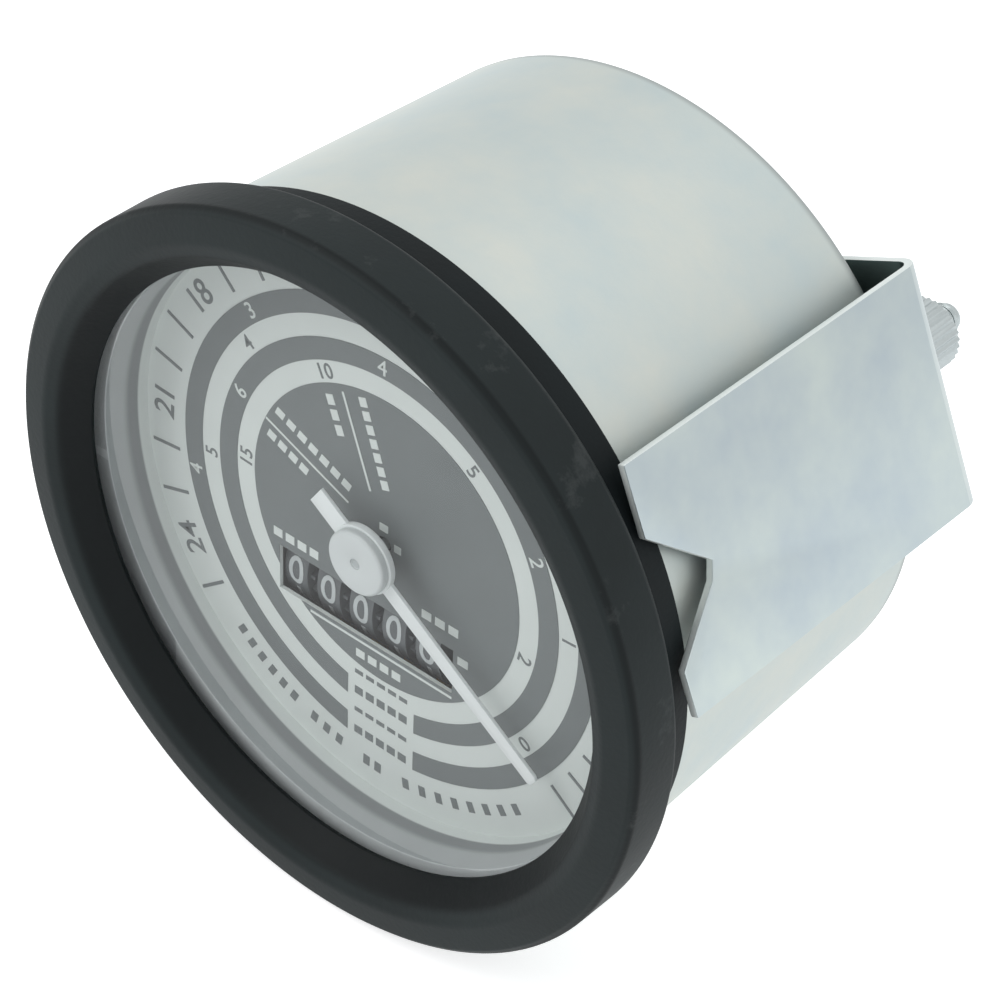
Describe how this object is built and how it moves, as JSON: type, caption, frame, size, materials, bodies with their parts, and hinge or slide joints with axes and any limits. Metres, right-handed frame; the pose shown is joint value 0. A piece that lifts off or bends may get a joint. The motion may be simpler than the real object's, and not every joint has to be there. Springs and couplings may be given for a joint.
{
  "type": "panel tachometer with hour counter",
  "caption": "Round panel tachometer: black bezel, banded dial with pointer and hour counter window, zinc can, rear drive stem and a notched U mounting bracket with thumb nuts.",
  "frame": {"origin": "on the instrument's axis, in the plane of the bezel's rear face, which seats on the panel", "axes": "+Y to the rear along the drive stem, the dial faces -Y, +Z towards 12 o'clock, +X towards 3 o'clock"},
  "size_m": [0.1078, 0.0887, 0.1068],
  "materials": {
    "zinc_can": "zinc plated, satin",
    "bezel_black": "semi-gloss black",
    "rubber_black": "matte",
    "clear_glass": "clear",
    "surround_grey": "satin grey",
    "dial_light": "matte light grey",
    "dial_dark": "matte grey ink",
    "pointer_pale": "matte pale grey",
    "steel": "turned",
    "spring_steel": "blued",
    "cup_aluminium": "satin",
    "brass": "machined",
    "magnet_dark": "cast magnet alloy",
    "frame_zinc": "die-cast zinc",
    "drum_dark": "moulded",
    "drum_light": "moulded",
    "bracket_zinc": "zinc plated",
    "bulb_glass": "clear"
  },
  "bodies": {
    "housing": {"case": "zinc_can", "bezel_ring": "bezel_black", "mounting_gasket": "rubber_black", "glass_gasket": "rubber_black", "glass_lens": "clear_glass", "dial_surround": "surround_grey", "dial_plate": "dial_light", "dial_print": "dial_dark", "hairspring": "spring_steel", "movement_plate": "frame_zinc", "frame_pillars": "steel", "spindle_bridge": "steel", "bridge_bush": "brass", "bridge_pins": "steel", "field_ring": "steel", "dial_posts": "steel", "drive_stem": "zinc_can", "stem_nut": "zinc_can", "counter_frame": "steel", "counter_screws": "steel", "drum_shaft": "steel", "pinion_shaft": "steel", "mounting_bracket": "bracket_zinc", "bracket_studs": "steel", "bracket_nuts": "steel", "lock_washers": "steel", "lamp_socket": "zinc_can", "lamp_bulb": "bulb_glass", "lamp_contact": "brass"},
    "pointer_arbor": {"pointer": "pointer_pale", "pointer_cap": "pointer_pale", "pointer_spindle": "steel", "drag_cup": "cup_aluminium", "stop_collar": "brass", "hairspring_collet": "brass"},
    "input": {"input_shaft": "steel", "magnet": "magnet_dark"},
    "cross_drive": {"cross_shaft": "steel", "cross_wheel": "brass"},
    "counter_drive": {"counter_drive_shaft": "steel", "counter_drive_wheel": "brass"},
    "drum_1": {"number_drum_1": "drum_light", "drum_wheel": "brass"},
    "drum_2": {"number_drum_2": "drum_dark"},
    "drum_3": {"number_drum_3": "drum_dark"},
    "drum_4": {"number_drum_4": "drum_dark"},
    "drum_5": {"number_drum_5": "drum_dark"},
    "pinion_1": {"transfer_pinion_1": "brass"},
    "pinion_2": {"transfer_pinion_2": "brass"},
    "pinion_3": {"transfer_pinion_3": "brass"},
    "pinion_4": {"transfer_pinion_4": "brass"}
  },
  "joints": [
    {"name": "pointer_turn", "type": "hinge", "parent": "housing", "child": "pointer_arbor", "pos_m": [0, 0, 0], "axis": [0, -1, 0], "range_deg": [0, 252.3], "stiffness_Nm_per_rad": 0.0002, "springref_deg": -28.65},
    {"name": "input_spin", "type": "hinge", "parent": "housing", "child": "input", "pos_m": [0, 0, 0], "axis": [0, -1, 0], "continuous": true},
    {"name": "cross_spin", "type": "hinge", "parent": "housing", "child": "cross_drive", "pos_m": [0, 0.0447, -0.0085], "axis": [1, 0, 0], "continuous": true},
    {"name": "counter_drive_spin", "type": "hinge", "parent": "housing", "child": "counter_drive", "pos_m": [0.0136, 0, -0.0242], "axis": [0, -1, 0], "continuous": true},
    {"name": "drum_1_spin", "type": "hinge", "parent": "housing", "child": "drum_1", "pos_m": [0, 0.0148, -0.0149], "axis": [1, 0, 0], "continuous": true},
    {"name": "drum_2_spin", "type": "hinge", "parent": "housing", "child": "drum_2", "pos_m": [0, 0.0148, -0.0149], "axis": [1, 0, 0], "continuous": true},
    {"name": "drum_3_spin", "type": "hinge", "parent": "housing", "child": "drum_3", "pos_m": [0, 0.0148, -0.0149], "axis": [1, 0, 0], "continuous": true},
    {"name": "drum_4_spin", "type": "hinge", "parent": "housing", "child": "drum_4", "pos_m": [0, 0.0148, -0.0149], "axis": [1, 0, 0], "continuous": true},
    {"name": "drum_5_spin", "type": "hinge", "parent": "housing", "child": "drum_5", "pos_m": [0, 0.0148, -0.0149], "axis": [1, 0, 0], "continuous": true},
    {"name": "pinion_1_spin", "type": "hinge", "parent": "housing", "child": "pinion_1", "pos_m": [0, 0.0148, -0.02526], "axis": [1, 0, 0], "continuous": true},
    {"name": "pinion_2_spin", "type": "hinge", "parent": "housing", "child": "pinion_2", "pos_m": [0, 0.0148, -0.02526], "axis": [1, 0, 0], "continuous": true},
    {"name": "pinion_3_spin", "type": "hinge", "parent": "housing", "child": "pinion_3", "pos_m": [0, 0.0148, -0.02526], "axis": [1, 0, 0], "continuous": true},
    {"name": "pinion_4_spin", "type": "hinge", "parent": "housing", "child": "pinion_4", "pos_m": [0, 0.0148, -0.02526], "axis": [1, 0, 0], "continuous": true}
  ],
  "couplings": [
    {"joint": "cross_spin", "follows": "input_spin", "ratio": -0.05},
    {"joint": "counter_drive_spin", "follows": "input_spin", "ratio": -0.0011111},
    {"joint": "drum_1_spin", "follows": "input_spin", "ratio": -0.000022222},
    {"joint": "drum_2_spin", "follows": "input_spin", "ratio": -0.0000022222},
    {"joint": "drum_3_spin", "follows": "input_spin", "ratio": -0.00000022222},
    {"joint": "drum_4_spin", "follows": "input_spin", "ratio": -0.000000022222},
    {"joint": "drum_5_spin", "follows": "input_spin", "ratio": -0.0000000022222},
    {"joint": "pinion_1_spin", "follows": "input_spin", "ratio": 0.0000055556},
    {"joint": "pinion_2_spin", "follows": "input_spin", "ratio": 0.00000055556},
    {"joint": "pinion_3_spin", "follows": "input_spin", "ratio": 0.000000055556},
    {"joint": "pinion_4_spin", "follows": "input_spin", "ratio": 0.0000000055556}
  ]
}
